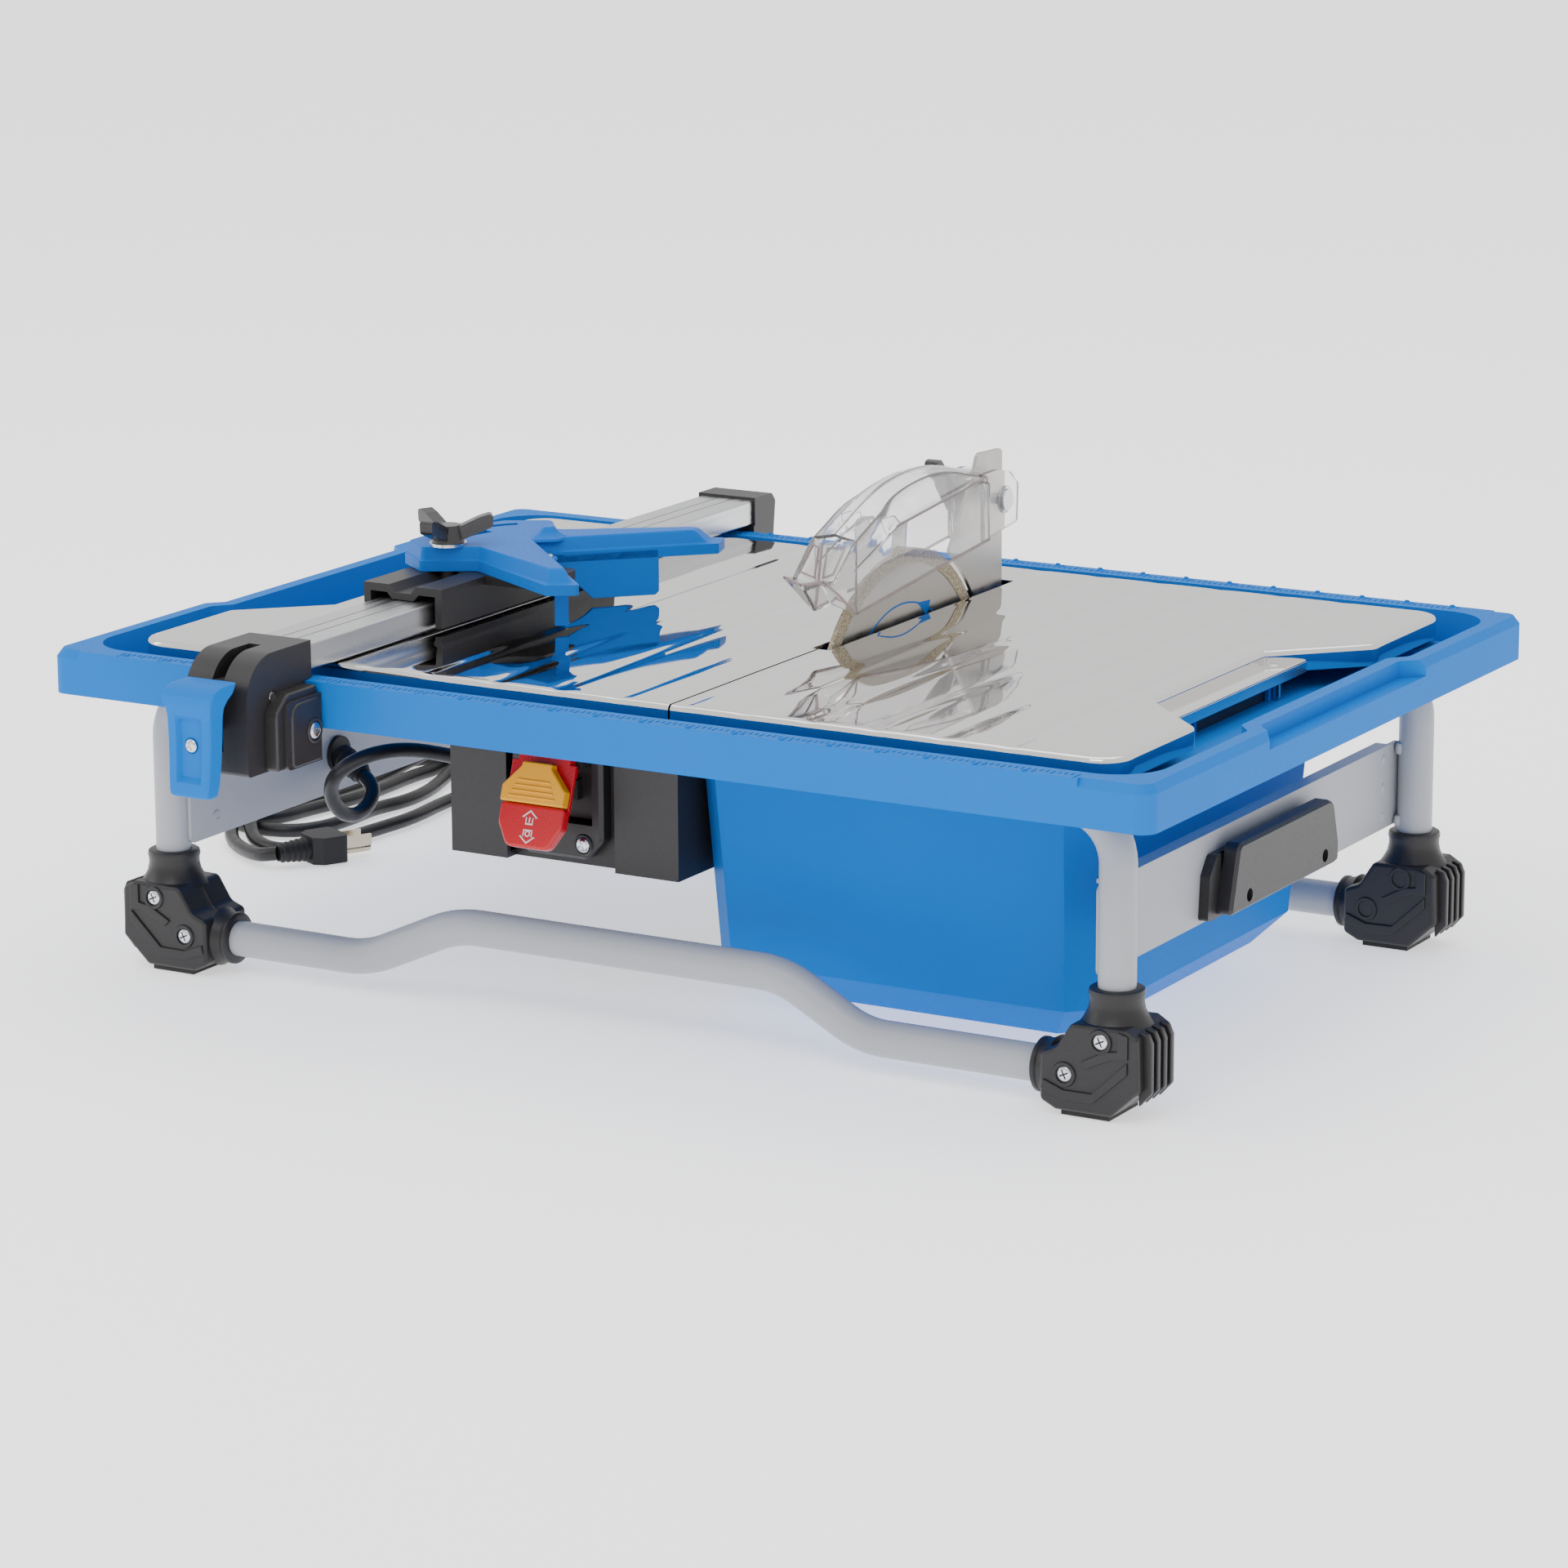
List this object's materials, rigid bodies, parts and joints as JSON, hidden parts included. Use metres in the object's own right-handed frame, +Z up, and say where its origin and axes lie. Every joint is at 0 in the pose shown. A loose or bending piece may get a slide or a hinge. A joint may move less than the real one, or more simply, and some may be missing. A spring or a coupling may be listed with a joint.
{
  "type": "wet tile saw",
  "caption": "Tabletop wet tile saw with a steel table in a moulded water pan, tubular stand, sliding rip fence with mitre gauge, hinged clear blade guard and rocker switch.",
  "frame": {"origin": "middle of the footprint at floor level, power lead left out", "axes": "+X to the right along the long side, +Y to the back, +Z up"},
  "size_m": [0.7308, 0.5634, 0.2475],
  "materials": {
    "tray_plastic": "satin moulded plastic",
    "gauge_plastic": "satin moulded plastic",
    "table_steel": "mirror polished stainless sheet",
    "frame_paint": "satin powder coat",
    "black_plastic": "fine grained moulded plastic",
    "motor_plastic": "fine grained moulded plastic",
    "red_plastic": "semi-gloss",
    "yellow_plastic": "semi-gloss",
    "clear_guard": "clear moulded polycarbonate",
    "fence_aluminium": "satin anodised extrusion",
    "zinc": "bright zinc plate",
    "blade_steel": "ground steel",
    "diamond_band": "sintered diamond grit",
    "core_steel": "bare laminated steel",
    "copper_wire": "enamelled winding wire",
    "rubber": "matt",
    "cord_rubber": "semi-gloss jacket",
    "brass": "plated contact"
  },
  "bodies": {
    "base": {"cord_hank": "cord_rubber", "cord_lead": "cord_rubber", "foot_left_front_inner": "black_plastic", "foot_left_front_outer": "black_plastic", "foot_left_rear_inner": "black_plastic", "foot_left_rear_outer": "black_plastic", "foot_pads": "rubber", "foot_right_front_inner": "black_plastic", "foot_right_front_outer": "black_plastic", "foot_right_rear_inner": "black_plastic", "foot_right_rear_outer": "black_plastic", "frame_screws": "zinc", "handle_inner": "black_plastic", "handle_outer": "black_plastic", "knife_bracket": "zinc", "lower_tube_front": "frame_paint", "lower_tube_rear": "frame_paint", "motor_housing": "motor_plastic", "pan": "tray_plastic", "plug_prongs": "brass", "power_plug": "cord_rubber", "riving_knife": "blade_steel", "shaft_bearings": "zinc", "shaft_seal": "rubber", "side_plate_left": "frame_paint", "side_plate_right": "frame_paint", "splash_baffle": "black_plastic", "stator_core": "core_steel", "stator_windings": "copper_wire", "strain_relief": "cord_rubber", "switch_body": "black_plastic", "switch_plate": "black_plastic", "table_bracket": "zinc", "table_top": "table_steel", "upper_tube_front": "frame_paint", "upper_tube_rear": "frame_paint"},
    "blade": {"arbor_shaft": "zinc", "rotor_core": "core_steel", "cooling_fan": "black_plastic", "blade_core": "blade_steel", "diamond_rim": "diamond_band", "blade_flanges": "blade_steel", "arbor_nut": "zinc"},
    "guard": {"guard_hood": "clear_guard", "guard_bolt": "zinc"},
    "guard_knob": {"guard_knob": "black_plastic"},
    "fence": {"fence_rail": "fence_aluminium", "fence_end_cap": "black_plastic", "fence_lock_housing": "black_plastic", "fence_screws": "zinc", "fence_clamp_pad": "rubber"},
    "lock_lever": {"lock_lever": "gauge_plastic", "lever_pins": "zinc"},
    "miter_slide": {"miter_channel": "black_plastic", "gauge_pivot_screw": "zinc", "knob_stud": "zinc"},
    "miter_gauge": {"miter_gauge": "gauge_plastic"},
    "miter_knob": {"miter_knob": "black_plastic"},
    "switch_paddle": {"switch_paddle": "red_plastic"},
    "safety_key": {"safety_key": "yellow_plastic"}
  },
  "joints": [
    {"name": "blade_spin", "type": "hinge", "parent": "base", "child": "blade", "pos_m": [0.039, 0.0634, 0.119], "axis": [1, 0, 0], "continuous": true},
    {"name": "guard_pivot", "type": "hinge", "parent": "base", "child": "guard", "pos_m": [0.039, 0.1564, 0.2197], "axis": [1, 0, 0], "range_deg": [-40, 2]},
    {"name": "guard_knob_turn", "type": "hinge", "parent": "guard", "child": "guard_knob", "pos_m": [0.018, 0.1564, 0.2197], "axis": [1, 0, 0], "range_deg": [-180, 0]},
    {"name": "fence_slide", "type": "slide", "parent": "base", "child": "fence", "axis": [1, 0, 0], "range_m": [-0.1, 0.07]},
    {"name": "lock_lever_swing", "type": "hinge", "parent": "fence", "child": "lock_lever", "pos_m": [-0.1695, -0.2186, 0.1665], "axis": [1, 0, 0], "range_deg": [-75, 0]},
    {"name": "miter_travel", "type": "slide", "parent": "fence", "child": "miter_slide", "axis": [0, 1, 0], "range_m": [-0.1, 0.14]},
    {"name": "miter_angle", "type": "hinge", "parent": "miter_slide", "child": "miter_gauge", "pos_m": [-0.1285, -0.0086, 0.195], "axis": [0, 0, 1], "range_deg": [0, 45]},
    {"name": "miter_knob_turn", "type": "hinge", "parent": "miter_slide", "child": "miter_knob", "pos_m": [-0.1729, -0.0314, 0.21], "axis": [0, 0, 1], "range_deg": [0, 180]},
    {"name": "switch_rocker", "type": "hinge", "parent": "base", "child": "switch_paddle", "pos_m": [-0.0595, -0.1126, 0.128], "axis": [1, 0, 0], "range_deg": [-20, 15]},
    {"name": "key_pull", "type": "slide", "parent": "switch_paddle", "child": "safety_key", "axis": [0, -0.9455, 0.3256], "range_m": [0, 0.025]}
  ]
}
